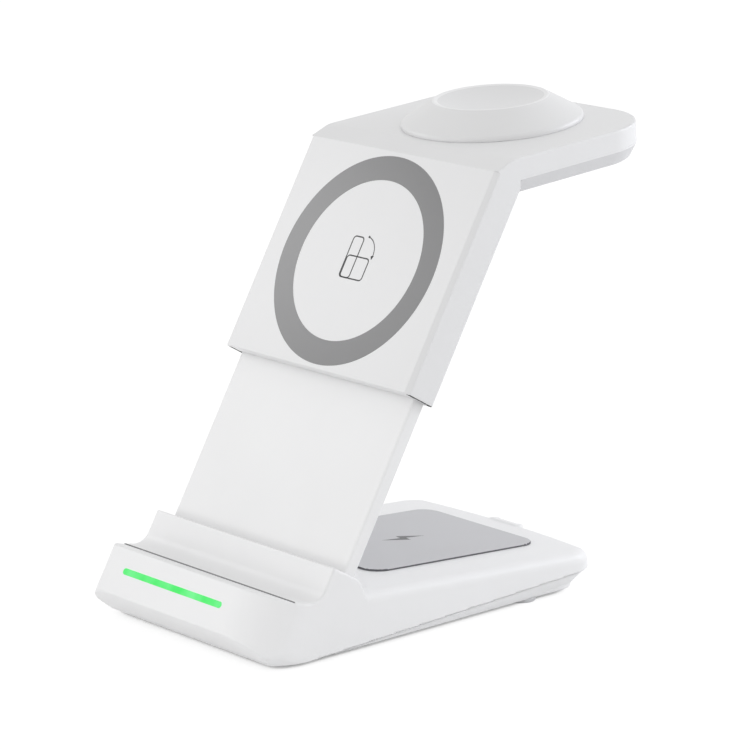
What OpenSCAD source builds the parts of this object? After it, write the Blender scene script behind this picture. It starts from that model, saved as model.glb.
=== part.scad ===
// Three in one charging stand: a wedge base with a phone shelf and an earbud pad,
// a leaning column, and an L-shaped head that slides on it and carries a watch stage.
// Millimetres, +Z up, -Y to the front, origin on the ground under the stand's middle.

/* [Stance] */
// Lean of the column and the phone panel from upright, degrees
lean = 29.8; // [24:0.2:34]
// Height of the phone ring's centre above the ground
ring_z = 87.7; // [85.5:0.1:92]
// Place of the phone ring's centre from front to back
ring_y = -4.65; // [-8:0.05:0]
// Rise of the watch platform towards its rear, degrees
platform_tilt = 5.2; // [0:0.2:8]
// Fall of the rear deck towards its rear, degrees
deck_fall = 3; // [0:0.5:4]
// How far the head is lowered on its column
lowered = 0; // [0:0.5:42]

/* [Base] */
// Half of the base's width
base_half_w = 34.8; // [33:0.1:38]
// Plan radius of the base's two front corners
front_corner_r = 13; // [8:1:16]
// Plan radius of the base's two rear corners
rear_corner_r = 9.7; // [8:0.1:14]
// Rear face of the base
base_rear_y = 48.4; // [46:0.2:52]
// Wall of the base shell
base_wall = 2.2; // [1.8:0.1:2.6]
// Radius along the deck's upper edge
deck_edge_r = 3; // [1:0.2:3]
// Height of the rubber feet below the base
foot_h = 1.2; // [0.8:0.1:2]

/* [Column] */
// Half of the column's width
column_half_w = 33.3; // [30:0.1:33.3]
// Depth of the column's front face behind the phone panel's face
column_front_d = 4.7; // [4.7:0.1:5]
// Thickness of the column plate
column_t = 3.7; // [3:0.1:3.7]
// Length of column inside the head when the head is up
column_overlap = 17; // [14:0.5:17]

/* [Head] */
// Half of the head's width
head_half_w = 35; // [34.9:0.1:36]
// Thickness of the leaning half of the head
head_t = 10.4; // [10.2:0.1:12]
// Half of the phone panel's height
panel_half_h = 29.15; // [28.6:0.05:30]
// Thickness of the phone panel
panel_t = 1.2; // [1:0.1:1.2]
// Width of the chamfer on the panel's two long edges
panel_chamfer = 0.95; // [0.5:0.05:1.1]
// Outer radius of the phone ring
ring_r = 28; // [27:0.1:28.2]
// Inner radius of the phone ring
ring_inner_r = 21.5; // [20.5:0.1:22.5]
// Length of the platform's flat top
platform_len = 52; // [50:0.5:56]
// Plan radius of the platform's rear corners
platform_corner_r = 17.5; // [12:0.5:19]
// Height of the platform's upright side wall
platform_wall_h = 5.55; // [5:0.05:6.5]
// Height of the chamfered underside below that wall
platform_skirt_h = 3.6; // [3:0.1:4]

/* [Watch stage] */
// Radius of the watch stage at its foot
stage_r = 23.3; // [22:0.1:24]
// Radius of its upper rim
stage_rim_r = 14.45; // [13:0.05:16]
// Height of its rim above the platform
stage_h = 6.4; // [5:0.1:8]
// Depth of the dish that the watch rests in
dish_depth = 1.3; // [0.8:0.1:1.6]

/* [Earbud pad] */
// Half of the pad's width
pad_half_w = 21.9; // [20:0.1:24]
// Length of the pad from front to back
pad_len = 56.2; // [50:0.2:58]
// Corner radius of the pad
pad_corner_r = 5; // [3:0.5:8]
// How far the pad stands out of the deck
pad_proud = 0.5; // [0.2:0.1:0.8]

/* [Light bar] */
// Half of the light bar's length
bar_half_l = 19.4; // [15:0.1:21]
// Height of the light bar
bar_h = 1.8; // [1.4:0.1:2.6]

/* [Hidden] */
$fn = 64;
eps = 0.01;
gap = 0.1;
far = 400;
bow_r = 227;

white = [0.93, 0.93, 0.94];
soft_white = [0.88, 0.88, 0.90];
ring_grey = [0.60, 0.60, 0.61];
pad_grey = [0.70, 0.70, 0.72];
led_green = [0.18, 0.90, 0.38];
board_green = [0.10, 0.35, 0.20];
copper = [0.72, 0.42, 0.22];
steel = [0.62, 0.63, 0.65];
ferrite_grey = [0.22, 0.22, 0.23];
rubber_grey = [0.30, 0.30, 0.31];

// Points in the upright plane: d behind the phone panel's face, v up along the lean from the ring
function lean_pt(d, v) = [ring_y + d * cos(lean) + v * sin(lean), ring_z - d * sin(lean) + v * cos(lean)];
// An arc of points about a centre
function arc(c, r, a0, a1, n) =
  [for (i = [0:n]) let (a = a0 + (a1 - a0) * i / n) c + r * [cos(a), sin(a)]];

// Heights of the base, all above the ground
floor_z = foot_h;
floor_t = 1.8;
floor_top = floor_z + floor_t;
nose_d = -15.36;
chin_v = -99.4;
lip_v = -87.4;
rest_v = -74.5;
hump_d = 9.2;
chin = lean_pt(nose_d, chin_v);
lip_top = lean_pt(nose_d, lip_v);
rest_top = lean_pt(0, rest_v);
hump_top = lean_pt(hump_d, rest_v);
cove_r = 3;
cove_start = lean_pt(0, -81.8);
cove_c = cove_start + cove_r * [-cos(lean), sin(lean)];
cove_end_a = 278;
cove_end = cove_c + cove_r * [cos(cove_end_a), sin(cove_end_a)];
slot_y = -53.1;
slot_z = floor_z + 15.14;
slot_w = 0.5;
chin_foot_y = chin[0] + 8.1;
tip_lean = 65;
tip_r = 5;
deck_front_y = hump_top[0] + 1.7;
deck_front_z = floor_z + 13.7;
deck_start_y = deck_front_y - 1;
function deck_z(y) = deck_front_z - (y - deck_front_y) * tan(deck_fall);
cover_half_w = 31.7;
cover_rear_y = base_rear_y - 3.4;
part_front_y = -50;
part_rise = 3.07;
function part_z(y) = floor_z + (y - part_front_y) * tan(part_rise);

// Places inside the base
bar_v = -92.93;
pad_mid_y = 9.95;
pad_t = 1.3;
board_z = floor_z + 4.4;
port_z = floor_z + 7.6;
port_half_w = 4.47;
port_half_h = 1.6;
boss_xy = [[-27, -22], [27, -22], [-27, 34], [27, 34]];

heel = lean_pt(column_front_d - 1.2, -86.2);
board_y = -53;

// Places inside the head
head_mid_y = ring_y;
fit = 0.35;
sleeve_half_w = column_half_w + fit;
sleeve_front_d = column_front_d - fit;
sleeve_rear_d = column_front_d + column_t + fit;
head_bottom_v = -panel_half_h;
column_top_v = head_bottom_v + column_overlap;
column_foot_v = -86;
bevel_d = 3.67;
bevel_v = 34;
bevel_pt = lean_pt(bevel_d, bevel_v);
carrier_d = 2.9;
top_wall = 1.8;
stage_mid = 25.2;
platform_half_w = head_half_w;
pin_r = 1.5;
pin_x = 31;
pin_v = column_top_v - 5.85;

// Frames
module lean_frame() { translate([0, ring_y, ring_z]) rotate([-lean, 0, 0]) children(); }
module platform_frame() { translate([0, bevel_pt[0], bevel_pt[1]]) rotate([platform_tilt, 0, 0]) children(); }
module deck_frame(y) { translate([0, y, deck_z(y)]) rotate([-deck_fall, 0, 0]) children(); }
module head_slide() { translate(-lowered * [0, sin(lean), cos(lean)]) children(); }

// A polygon in the upright front-to-back plane, spread to both sides by half_w
module side_slab(points, half_w) {
  rotate([90, 0, 90]) translate([0, 0, -half_w]) linear_extrude(2 * half_w) polygon(points);
}

// A box in the lean frame, from its limits across, in depth and in height
module lean_box(half_w, d0, d1, v0, v1) {
  lean_frame() translate([-half_w, d0, v0]) cube([2 * half_w, d1 - d0, v1 - v0]);
}

// A rectangle about x = 0 whose front and rear corners have their own radii
module plan(half_w, y0, y1, rf, rr) {
  translate([-half_w, y0 + rf]) square([2 * half_w, y1 - y0 - rf - rr]);
  translate([-half_w + rf, y0]) square([2 * (half_w - rf), rf + eps]);
  translate([-half_w + rr, y1 - rr - eps]) square([2 * (half_w - rr), rr + eps]);
  for (s = [-1, 1]) {
    translate([s * (half_w - rf), y0 + rf]) circle(rf);
    translate([s * (half_w - rr), y1 - rr]) circle(rr);
  }
}

// The base's outline behind the nose: a rectangle whose rear edge bows a little
module base_plan(inset, y0) {
  rear = base_rear_y - inset;
  intersection() {
    plan(base_half_w - inset, y0, rear, 0.1, rear_corner_r - inset * 0.5);
    translate([0, rear - bow_r]) circle(bow_r, $fn = 360);
  }
}

module stadium(half_l, r) {
  square([2 * (half_l - r), 2 * r], center = true);
  for (s = [-1, 1]) translate([s * (half_l - r), 0]) circle(r);
}

// Base

// The side view of the nose: lip, shelf, cove and hump, drawn a wall's thickness smaller for its inside
module nose_profile() {
  side_slab(concat(
    [[chin_foot_y, floor_z], chin, lip_top, [slot_y, slot_z]],
    arc(cove_c, cove_r, cove_end_a, 360 - lean, 6),
    [rest_top, hump_top, [deck_front_y, deck_front_z], [deck_front_y, floor_z]]), base_half_w + 1);
}

// The nose with its two corners rounded along the lean, and their lowest tips eased
module nose_outer() {
  intersection() {
    nose_profile();
    lean_frame() translate([0, 0, -130]) linear_extrude(100)
      plan(base_half_w, nose_d, 90, front_corner_r, 1);
    translate([0, chin_foot_y, floor_z]) rotate([tip_lean, 0, 0]) translate([0, 0, -60]) linear_extrude(100)
      plan(base_half_w, 0, 120, tip_r, 1);
  }
}

// The deck's block, with its upper edge rounded by layers that draw in along a quarter circle
module deck_block(inset, lid, edge_r) {
  layers = 5;
  hull() {
    translate([0, 0, floor_z]) linear_extrude(eps)
      base_plan(inset, deck_start_y, $fn = 48);
    for (i = [0:layers]) {
      a = 90 * i / layers;
      draw_in = inset + edge_r * (1 - cos(a));
      deck_frame(deck_front_y) translate([0, -deck_front_y, -lid - edge_r * (1 - sin(a))]) linear_extrude(eps)
        base_plan(draw_in, deck_start_y, $fn = 48);
    }
  }
}

module below_parting() {
  translate([0, part_front_y, floor_z]) rotate([part_rise, 0, 0])
    translate([-far / 2, 0, -40]) cube([far, far, 40]);
}

module nose_cavity() {
  w = base_half_w - base_wall;
  intersection() {
    side_slab([
      [chin_foot_y + 2.2, floor_z - 1], [chin_foot_y + 2.2, floor_z + 1.6],
      chin + [2.6, 1.4], lip_top + [2.6, -3.4],
      [slot_y, slot_z - base_wall - 0.8], cove_end - [0, base_wall], cove_start + [base_wall + 0.6, -1.2],
      lean_pt(base_wall, rest_v - base_wall), lean_pt(hump_d - 0.75, rest_v - base_wall),
      [deck_front_y - base_wall + 1, deck_front_z - base_wall],
      [deck_front_y + 5, deck_z(deck_front_y + 5) - base_wall], [deck_front_y + 5, floor_z - 1]], w);
    lean_frame() translate([0, 0, -130]) linear_extrude(100)
      plan(w, nose_d + base_wall, 90, front_corner_r - base_wall, 1);
  }
}

// Outline of the floor plate that closes the shell from below
module floor_plan(inset) {
  plan(cover_half_w - inset, chin_foot_y + 2.4 + inset, cover_rear_y - inset, 8, 9);
}

module port_opening(grow, y0, y1) {
  translate([0, y0, port_z]) rotate([-90, 0, 0]) linear_extrude(y1 - y0)
    stadium(port_half_w + grow, port_half_h + grow);
}

module base_shell() {
  color(white) difference() {
    union() {
      difference() {
        union() {
          nose_outer();
          deck_block(0, 0, deck_edge_r);
          // Low hood over the charging inlet
          deck_frame(deck_front_y) translate([0, -deck_front_y, -5]) linear_extrude(5.4)
            plan(6.2, base_rear_y - 5, base_rear_y - 0.1, 2, 1);
        }
        // The inside, above the floor
        intersection() {
          union() {
            nose_cavity();
            deck_block(base_wall, base_wall, 1);
          }
          translate([-far / 2, -far / 2, floor_top]) cube([far, far, far]);
        }
        // Seat of the floor plate
        translate([0, 0, floor_z - 1]) linear_extrude(floor_t + 1.05) floor_plan(0);
      }
      // Short posts that the column's bracket hangs from
      for (s = [-1, 1]) translate([s * 10, heel[0] - 4, heel[1] + 0.6]) cylinder(h = 2.6, r = 2.4, $fn = 32);
      // Bosses that the screws of the cover bite into
      for (p = boss_xy) translate([p[0], p[1], floor_top])
        cylinder(h = deck_z(p[1]) - 1 - floor_top, r = 3, $fn = 32);
    }
    below_parting();
    for (p = boss_xy) translate([p[0], p[1], floor_z]) cylinder(h = 8, r = 1);
    for (s = [-1, 1]) translate([s * 10, heel[0] - 4, heel[1] - 1]) cylinder(h = 4.6, r = 1);
    // Seat of the earbud pad
    deck_frame(pad_mid_y) translate([0, 0, -(pad_t - pad_proud)]) linear_extrude(5)
      plan(pad_half_w + gap, -pad_len / 2 - gap, pad_len / 2 + gap, pad_corner_r, pad_corner_r);
    // Narrow slot along the shelf's front
    translate([-33.9, slot_y - slot_w / 2, slot_z - 1]) cube([67.8, slot_w, 5]);
    // Slot that the column stands in
    lean_box(column_half_w + gap, column_front_d - gap, column_front_d + column_t + gap,
      column_foot_v - 0.5, -60);
    // Window of the light bar
    lean_frame() translate([0, nose_d - 1, bar_v]) rotate([-90, 0, 0]) {
      linear_extrude(6) stadium(bar_half_l, bar_h / 2);
      translate([0, 0, 3.2]) linear_extrude(6) stadium(bar_half_l + 0.5, bar_h / 2 + 0.7);
    }
    port_opening(0.15, base_rear_y - 8, base_rear_y + 2);
  }
}

module base_cover() {
  color(soft_white) {
    cover_plate();
    // Posts under the two boards
    for (s = [-1, 1]) {
      for (y = [2, 13]) translate([s * 24, board_y + y, floor_top - 0.5])
        cylinder(h = board_z - floor_top + 0.5, r = 1.5);
      translate([s * 6, base_rear_y - 9, floor_top - 0.5])
        cylinder(h = port_z - port_half_h - 0.8 - floor_top + 0.5, r = 1.5);
    }
  }
}

module cover_plate() {
  difference() {
    union() {
      // Floor plate inside the shell's skirt
      translate([0, 0, floor_z]) linear_extrude(floor_t) floor_plan(0.12);
      // Band that draws in from the parting line down to the underside
      hull() {
        translate([0, 0, floor_z]) linear_extrude(eps) {
          translate([-base_half_w + 0.5, -46]) square([2 * base_half_w - 1, 1]);
          plan(cover_half_w, -12, cover_rear_y, 1, 9, $fn = 48);
        }
        translate([0, part_front_y, floor_z - 0.06]) rotate([part_rise, 0, 0])
          translate([0, -part_front_y, -eps]) linear_extrude(eps)
            base_plan(0.3, -46, $fn = 48);
      }
    }
    // Hollow above the floor
    difference() {
      translate([0, 0, floor_top]) linear_extrude(20) plan(30.2, -60, 43.2, 1, 7.6);
      for (p = boss_xy) translate([p[0], p[1], 0]) cylinder(h = floor_top, r = 3.6);
    }
    for (p = boss_xy) {
      translate([p[0], p[1], floor_z - 1]) cylinder(h = 30, r = 1.3);
      translate([p[0], p[1], floor_z - 1]) cylinder(h = 2, r = 2.3);
      translate([p[0], p[1], floor_top]) cylinder(h = 20, r = 3.2);
    }
    // Shallow seats of the feet
    for (p = foot_xy) translate([p[0], p[1], -1]) cylinder(h = floor_z + 1.72, r = 3.65);
  }
}

foot_xy = [[-27.3, -46.5], [27.3, -46.5], [-27.6, 26.5], [27.6, 26.5]];

module rubber_feet() {
  color(rubber_grey) for (p = foot_xy) translate([p[0], p[1], 0]) cylinder(h = foot_h + 0.7, r = 3.6);
}

// Pan-head screw pointing up, its head's underside at the origin
module screw(r, len, head_r, head_h) {
  cylinder(h = len, r = r);
  translate([0, 0, -head_h]) cylinder(h = head_h, r = head_r);
}

module base_screws() {
  color(steel) for (p = boss_xy) translate([p[0], p[1], floor_z + 1]) screw(0.98, 6, 2.1, 0.9);
}

module ballast_plate() {
  color(steel) translate([0, 0, floor_top]) linear_extrude(2.4) difference() {
    plan(29.6, -19, 27, 1, 3);
    for (p = boss_xy) translate(p) circle(4);
  }
}

module main_board() {
  color(board_green) translate([-26, board_y, board_z]) cube([52, 15, 1]);
}

module board_parts() {
  color(ferrite_grey) {
    for (x = [-20, -8, 8]) translate([x, board_y + 3, board_z + 1]) cube([6, 6, 2.8]);
    translate([14, board_y + 4, board_z + 1]) cube([5, 5, 0.9]);
    for (x = [-13, 2, 20]) translate([x, board_y + 11, board_z + 1]) cube([3, 2, 1.2]);
  }
}

module usb_c_socket() {
  y0 = base_rear_y - 7.5;
  color(steel) translate([0, y0, port_z]) rotate([-90, 0, 0]) difference() {
    linear_extrude(7.3) stadium(port_half_w, port_half_h);
    translate([0, 0, 1]) linear_extrude(7.3) stadium(port_half_w - 0.3, port_half_h - 0.3);
  }
  color(ferrite_grey) translate([-3.2, y0 + 0.9, port_z - 0.35]) cube([6.4, 5.6, 0.7]);
}

module port_board() {
  color(board_green) translate([-8, base_rear_y - 11, port_z - port_half_h - 0.8]) cube([16, 7, 0.8]);
}

module light_bar() {
  color(led_green) lean_frame() translate([0, nose_d, bar_v]) rotate([-90, 0, 0]) {
    linear_extrude(2.3) stadium(bar_half_l - 0.05, bar_h / 2 - 0.05);
    translate([0, 0, 2.25]) linear_extrude(0.8) stadium(bar_half_l + 0.4, bar_h / 2 + 0.6);
  }
}

module light_board() {
  color(board_green) lean_box(21, nose_d + 3.6, nose_d + 4.4, bar_v - 2.2, bar_v + 2.2);
}

module light_leds() {
  color(soft_white) for (i = [0:5])
    lean_frame() translate([-17.25 + i * 6.5, nose_d + 3.1, bar_v - 0.6]) cube([2, 0.5, 1.2]);
}

module earbud_pad() {
  color(pad_grey) deck_frame(pad_mid_y) translate([0, 0, pad_proud - pad_t]) linear_extrude(pad_t)
    plan(pad_half_w, -pad_len / 2, pad_len / 2, pad_corner_r, pad_corner_r);
}

// A flat winding or its backing: a ring with its lower face at z = 0
module flat_ring(r1, r0, h) {
  linear_extrude(h) difference() {
    circle(r1);
    circle(r0);
  }
}

module earbud_coil() {
  color(copper) deck_frame(4) translate([0, 0, -base_wall - 1.1]) flat_ring(18, 8.5, 1);
}

module earbud_ferrite() {
  color(ferrite_grey) deck_frame(4) translate([-19, -19, -base_wall - 1.8]) cube([38, 38, 0.7]);
}

// Column

module column_plate() {
  channel_half_w = 5;
  color(white) lean_frame() difference() {
    // Section of the plate with its long edges eased
    translate([0, 0, column_foot_v]) linear_extrude(column_top_v - column_foot_v)
      translate([0, column_front_d]) plan(column_half_w, 0, column_t, 0.5, 0.5, $fn = 24);
    translate([-channel_half_w, column_front_d + 1.5, column_foot_v - 1])
      cube([2 * channel_half_w, 0.8, column_top_v - column_foot_v + 2]);
    for (s = [-1, 1]) {
      translate([s * pin_x, column_front_d - 1, pin_v]) rotate([-90, 0, 0]) cylinder(h = 3, r = pin_r);
      translate([s * 18, column_front_d - 1, -83]) rotate([-90, 0, 0]) cylinder(h = 3.6, r = 1);
    }
  }
}

module column_bracket() {
  color(steel) difference() {
    union() {
      lean_box(26, column_front_d - 1.2, column_front_d - 0.1, -86.2, -79);
      translate([-26, heel[0] - 8, heel[1] - 0.5]) cube([52, 8.6, 1.1]);
    }
    for (s = [-1, 1]) {
      lean_frame() translate([s * 18, column_front_d - 3, -83]) rotate([-90, 0, 0]) cylinder(h = 4, r = 1.2);
      translate([s * 10, heel[0] - 4, heel[1] - 2]) cylinder(h = 5, r = 1.2);
    }
  }
}

module bracket_screws() {
  color(steel) lean_frame() for (s = [-1, 1])
    translate([s * 18, column_front_d - 1.2, -83]) rotate([-90, 0, 0]) screw(0.98, 3.4, 1.7, 0.5);
  color(steel) for (s = [-1, 1]) translate([s * 10, heel[0] - 4, heel[1] - 0.5]) screw(0.98, 4, 1.7, 0.6);
}

module column_ribbon() {
  color(copper)
    lean_box(4.5, column_front_d + 1.7, column_front_d + 2.1, column_foot_v - 1, column_top_v - 0.5);
}

module stop_pins() {
  color(steel) lean_frame() for (s = [-1, 1])
    translate([s * pin_x, carrier_d + 0.5, pin_v]) rotate([-90, 0, 0])
      cylinder(h = column_front_d + 1.4 - carrier_d, r = pin_r - 0.02);
}

// Head

function platform_pt(y, z) = [bevel_pt[0] + y * cos(platform_tilt) - z * sin(platform_tilt),
  bevel_pt[1] + y * sin(platform_tilt) + z * cos(platform_tilt)];

// How far along the platform its underside meets the rear face of the leaning half
rear_pt = lean_pt(head_t, 0) - bevel_pt;
rear_y = rear_pt[0] * cos(platform_tilt) + rear_pt[1] * sin(platform_tilt);
rear_z = rear_pt[1] * cos(platform_tilt) - rear_pt[0] * sin(platform_tilt);
corner_y = rear_y + (-platform_wall_h - platform_skirt_h - rear_z) * tan(lean + platform_tilt);

// Side view of the whole head, panel left out
function head_points() =
  [lean_pt(panel_t, head_bottom_v), lean_pt(panel_t, panel_half_h), lean_pt(0, panel_half_h),
   bevel_pt, platform_pt(platform_len, 0), platform_pt(platform_len, -platform_wall_h),
   platform_pt(corner_y, -platform_wall_h), platform_pt(corner_y, -platform_wall_h - platform_skirt_h),
   lean_pt(head_t, head_bottom_v)];

module platform_outline(inset, r) {
  plan(platform_half_w - inset, -60, platform_len - inset, 1, r);
}

module head_housing() {
  sleeve_top = 32.6;
  color(white) head_slide() difference() {
    intersection() {
      side_slab(head_points(), head_half_w);
      platform_frame() translate([0, 0, -120]) linear_extrude(125) platform_outline(0, platform_corner_r);
    }
    // Eased rear edges of the leaning half
    for (s = [-1, 1]) lean_frame() translate([s * head_half_w, head_t, head_bottom_v - 1]) rotate([0, 0, 45])
      translate([-0.75, -0.75, 0]) cube([1.5, 1.5, 58]);
    // Bay of the phone coil behind the panel
    lean_box(sleeve_half_w, panel_t - 1, carrier_d, head_bottom_v + 1.5, 27.4);
    lean_box(sleeve_half_w, carrier_d - eps, sleeve_front_d + eps, head_bottom_v + 1.5, 29);
    // Sleeve for the column
    intersection() {
      lean_box(sleeve_half_w, sleeve_front_d, sleeve_rear_d, head_bottom_v - 1, sleeve_top);
      platform_frame() translate([-far / 2, -far / 2, -far - top_wall]) cube([far, far, far]);
    }
    // Pockets of the friction pads
    for (s = [-1, 1]) lean_frame() translate([s * 18 - 8.1, sleeve_rear_d - eps, head_bottom_v + 3])
      cube([16.2, 0.9, 8.2]);
    // Hollow of the platform, open below
    platform_frame() translate([0, 0, -platform_wall_h - 1]) linear_extrude(platform_wall_h + 1 - top_wall)
      intersection() {
        plan(platform_half_w - 1.8, -20, platform_len - 1.8, 1, platform_corner_r - 1.8);
        translate([-far / 2, corner_y + 1.6]) square([far, far]);
      }
    // Way for the wires of the watch coil
    platform_frame() translate([0, stage_mid, -5]) cylinder(h = 10, r = 3);
  }
  // Screw posts under the platform's top
  color(white) head_slide() for (p = post_xy) platform_frame() translate([p[0], p[1], -platform_wall_h - 0.5])
    difference() {
      cylinder(h = platform_wall_h + 1 - top_wall, r = 2.4, $fn = 32);
      translate([0, 0, -1]) cylinder(h = 4.5, r = 0.8);
    }
}

post_xy = [[-28, 12], [28, 12], [-21, 44], [21, 44]];

module front_panel() {
  color(white) head_slide() difference() {
    lean_frame() translate([0, 0, head_bottom_v]) linear_extrude(2 * panel_half_h) polygon([
      [-head_half_w + panel_chamfer, 0], [head_half_w - panel_chamfer, 0], [head_half_w, panel_chamfer + 0.1],
      [head_half_w, panel_t], [-head_half_w, panel_t], [-head_half_w, panel_chamfer + 0.1]]);
    lean_frame() translate([0, -1, 0]) rotate([-90, 0, 0]) flat_ring(ring_r + 0.02, ring_inner_r - 0.02, 1.4);
  }
}

module phone_ring() {
  color(ring_grey) head_slide() lean_frame() rotate([-90, 0, 0]) flat_ring(ring_r, ring_inner_r, 0.4);
}

module ring_magnets() {
  count = 16;
  color(steel) head_slide() lean_frame() translate([0, panel_t + 0.1, 0]) rotate([-90, 0, 0])
    for (i = [0:count - 1]) rotate([0, 0, i * 360 / count + 4])
      rotate_extrude(angle = 360 / count - 8) translate([23, 0]) square([4.2, 1.5]);
}

module phone_coil() {
  color(copper) head_slide() lean_frame() translate([0, panel_t + 0.1, 0]) rotate([-90, 0, 0])
    flat_ring(21.6, 9.5, 0.8);
}

module phone_ferrite() {
  color(ferrite_grey) head_slide() lean_frame() translate([0, panel_t + 0.95, 0]) rotate([-90, 0, 0])
    flat_ring(22.2, 3, 0.65);
}

module coil_carrier() {
  half_w = sleeve_half_w - 0.15;
  low_v = head_bottom_v + 1.6;
  pin_low = pin_v - pin_r - 0.3;
  color(soft_white) head_slide() difference() {
    lean_box(half_w, carrier_d, sleeve_front_d - 0.05, low_v, 27.2);
    for (s = [-1, 1]) lean_frame() translate([s * pin_x - pin_r - 0.2, carrier_d - 1, pin_low])
      cube([2 * pin_r + 0.4, 4, 60]);
  }
}

module friction_pads() {
  color(rubber_grey) head_slide() for (s = [-1, 1])
    lean_frame() translate([s * 18 - 8, column_front_d + column_t + 0.05, head_bottom_v + 3.1])
      cube([16, 1.15, 8]);
}

module platform_cover() {
  color(soft_white) head_slide() difference() {
    platform_frame() hull() {
      translate([0, 0, -platform_wall_h - 0.05 - eps]) linear_extrude(eps)
        plan(platform_half_w, corner_y + 0.05, platform_len, 0.1, platform_corner_r, $fn = 48);
      translate([0, 0, -platform_wall_h - platform_skirt_h]) linear_extrude(eps)
        plan(platform_half_w - 2, corner_y + 0.05, platform_len - 2, 0.1, platform_corner_r - 2, $fn = 48);
    }
    platform_frame() translate([0, 0, -platform_wall_h - platform_skirt_h + 1.6]) linear_extrude(10)
      plan(platform_half_w - 3.4, corner_y + 1.6, platform_len - 3.4, 0.1, platform_corner_r - 3.4);
    for (p = post_xy) platform_frame() translate([p[0], p[1], -20]) {
      cylinder(h = 30, r = 1);
      cylinder(h = 20 - platform_wall_h - platform_skirt_h + 0.9, r = 1.9);
    }
  }
}

module cover_screws() {
  color(steel) head_slide() for (p = post_xy) platform_frame()
    translate([p[0], p[1], -platform_wall_h - platform_skirt_h + 0.9]) screw(0.78, 5.5, 1.7, 0.8);
}

module head_board() {
  color(board_green) head_slide() platform_frame() translate([-20, 16, -2.85]) cube([40, 24, 1]);
}

// Watch stage: a low cone with a rounded foot, hollow below
module watch_stage() {
  outer = concat([[3.2, 0], [stage_r - 0.15, 0], [stage_r, 0.35]],
    arc([stage_r - 1.3, 0.5], 1.3, 0, 54, 4),
    arc([stage_rim_r + 0.05, stage_h - 0.8], 0.8, 54, 110, 3),
    [[stage_rim_r - 0.85, stage_h - 0.35], [stage_rim_r - 0.85, stage_h - 2.5], [13.4, stage_h - 2.5],
     [13.4, 0.9], [3.2, 0.9]]);
  color(white) head_slide() platform_frame() translate([0, stage_mid, 0])
    rotate_extrude($fn = 96) polygon(outer);
}

module watch_dish() {
  r = stage_rim_r - 0.9;
  sphere_r = (r * r + dish_depth * dish_depth) / (2 * dish_depth);
  top = stage_h - 0.4;
  half_a = asin(r / sphere_r);
  color(soft_white) head_slide() platform_frame() translate([0, stage_mid, 0]) rotate_extrude($fn = 96)
    polygon(concat([[0, stage_h - 3.1], [13.3, stage_h - 3.1], [13.3, stage_h - 2.5], [r, stage_h - 2.5]],
      arc([0, top - dish_depth + sphere_r], sphere_r, 270 + half_a, 270, 8)));
}

module watch_coil() {
  color(copper) head_slide() platform_frame() translate([0, stage_mid, 1.6]) flat_ring(12.6, 5.6, 1.2);
}

module watch_ferrite() {
  color(ferrite_grey) head_slide() platform_frame() translate([0, stage_mid, 0.95]) flat_ring(13, 3.4, 0.6);
}

module watch_magnet() {
  color(steel) head_slide() platform_frame() translate([0, stage_mid, 1.6]) cylinder(h = 1.6, r = 4.6);
}

base_shell();
base_cover();
rubber_feet();
base_screws();
ballast_plate();
main_board();
board_parts();
usb_c_socket();
port_board();
light_bar();
light_board();
light_leds();
earbud_pad();
earbud_coil();
earbud_ferrite();
column_plate();
column_bracket();
bracket_screws();
column_ribbon();
stop_pins();
head_housing();
front_panel();
phone_ring();
ring_magnets();
phone_coil();
phone_ferrite();
coil_carrier();
friction_pads();
platform_cover();
cover_screws();
head_board();
watch_stage();
watch_dish();
watch_coil();
watch_ferrite();
watch_magnet();
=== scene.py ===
# %% [markdown]
# A small desk stand that charges a phone, a watch and a pair of earbuds.
# The CAD model fixes every size. This file keeps its frame and gives the
# pieces their eased edges, their finishes, and a plain white studio.

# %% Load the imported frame
import math
import bpy
import numpy as np
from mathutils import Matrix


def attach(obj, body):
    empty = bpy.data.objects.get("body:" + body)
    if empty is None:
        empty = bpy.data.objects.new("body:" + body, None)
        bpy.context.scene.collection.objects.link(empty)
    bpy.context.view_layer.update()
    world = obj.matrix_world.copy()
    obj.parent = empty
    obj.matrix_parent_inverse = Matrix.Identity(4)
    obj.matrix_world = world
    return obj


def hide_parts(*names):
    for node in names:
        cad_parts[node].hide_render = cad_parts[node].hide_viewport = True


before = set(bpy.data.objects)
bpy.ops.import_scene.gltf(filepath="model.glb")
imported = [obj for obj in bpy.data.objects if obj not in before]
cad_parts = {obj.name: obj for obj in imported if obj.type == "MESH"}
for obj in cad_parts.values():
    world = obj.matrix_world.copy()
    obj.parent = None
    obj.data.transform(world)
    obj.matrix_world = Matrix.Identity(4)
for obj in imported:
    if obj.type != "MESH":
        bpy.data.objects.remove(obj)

bpy.context.view_layer.update()

# %% [markdown]
# The stand has three working directions besides the upright one: the lean of
# the phone panel, the slight rise of the watch platform, and the slight fall
# of the rear deck. Every piece below is described in one of them, so a few
# short functions that turn a point into each direction save a lot of sums.
# In the lean, v runs up the panel from the middle of the phone ring, and d
# runs from the panel's face into the head.

# %% The stand's own directions, in millimetres
LEAN, RISE, FALL = math.radians(29.8), math.radians(5.2), math.radians(3.0)
LS, LC = math.sin(LEAN), math.cos(LEAN)
RING_Y, RING_Z = -4.65, 87.7
FLOOR = 1.2
BASE_HALF, HEAD_HALF = 34.8, 35
PANEL_REACH = 29.15
BEVEL_FOOT, BEVEL_TOP = (0, PANEL_REACH), (3.67, 34.0)
HUMP_TOP = (9.2, -74.5)

def lean_point(d, v):
    return RING_Y + d * LC + v * LS, RING_Z - d * LS + v * LC

def to_lean(x, y, z):
    return x, (y - RING_Y) * LC - (z - RING_Z) * LS, (y - RING_Y) * LS + (z - RING_Z) * LC

def from_lean(p):
    x, d, v = p.T
    return np.stack([x, *lean_point(d, v)], 1)

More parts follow.
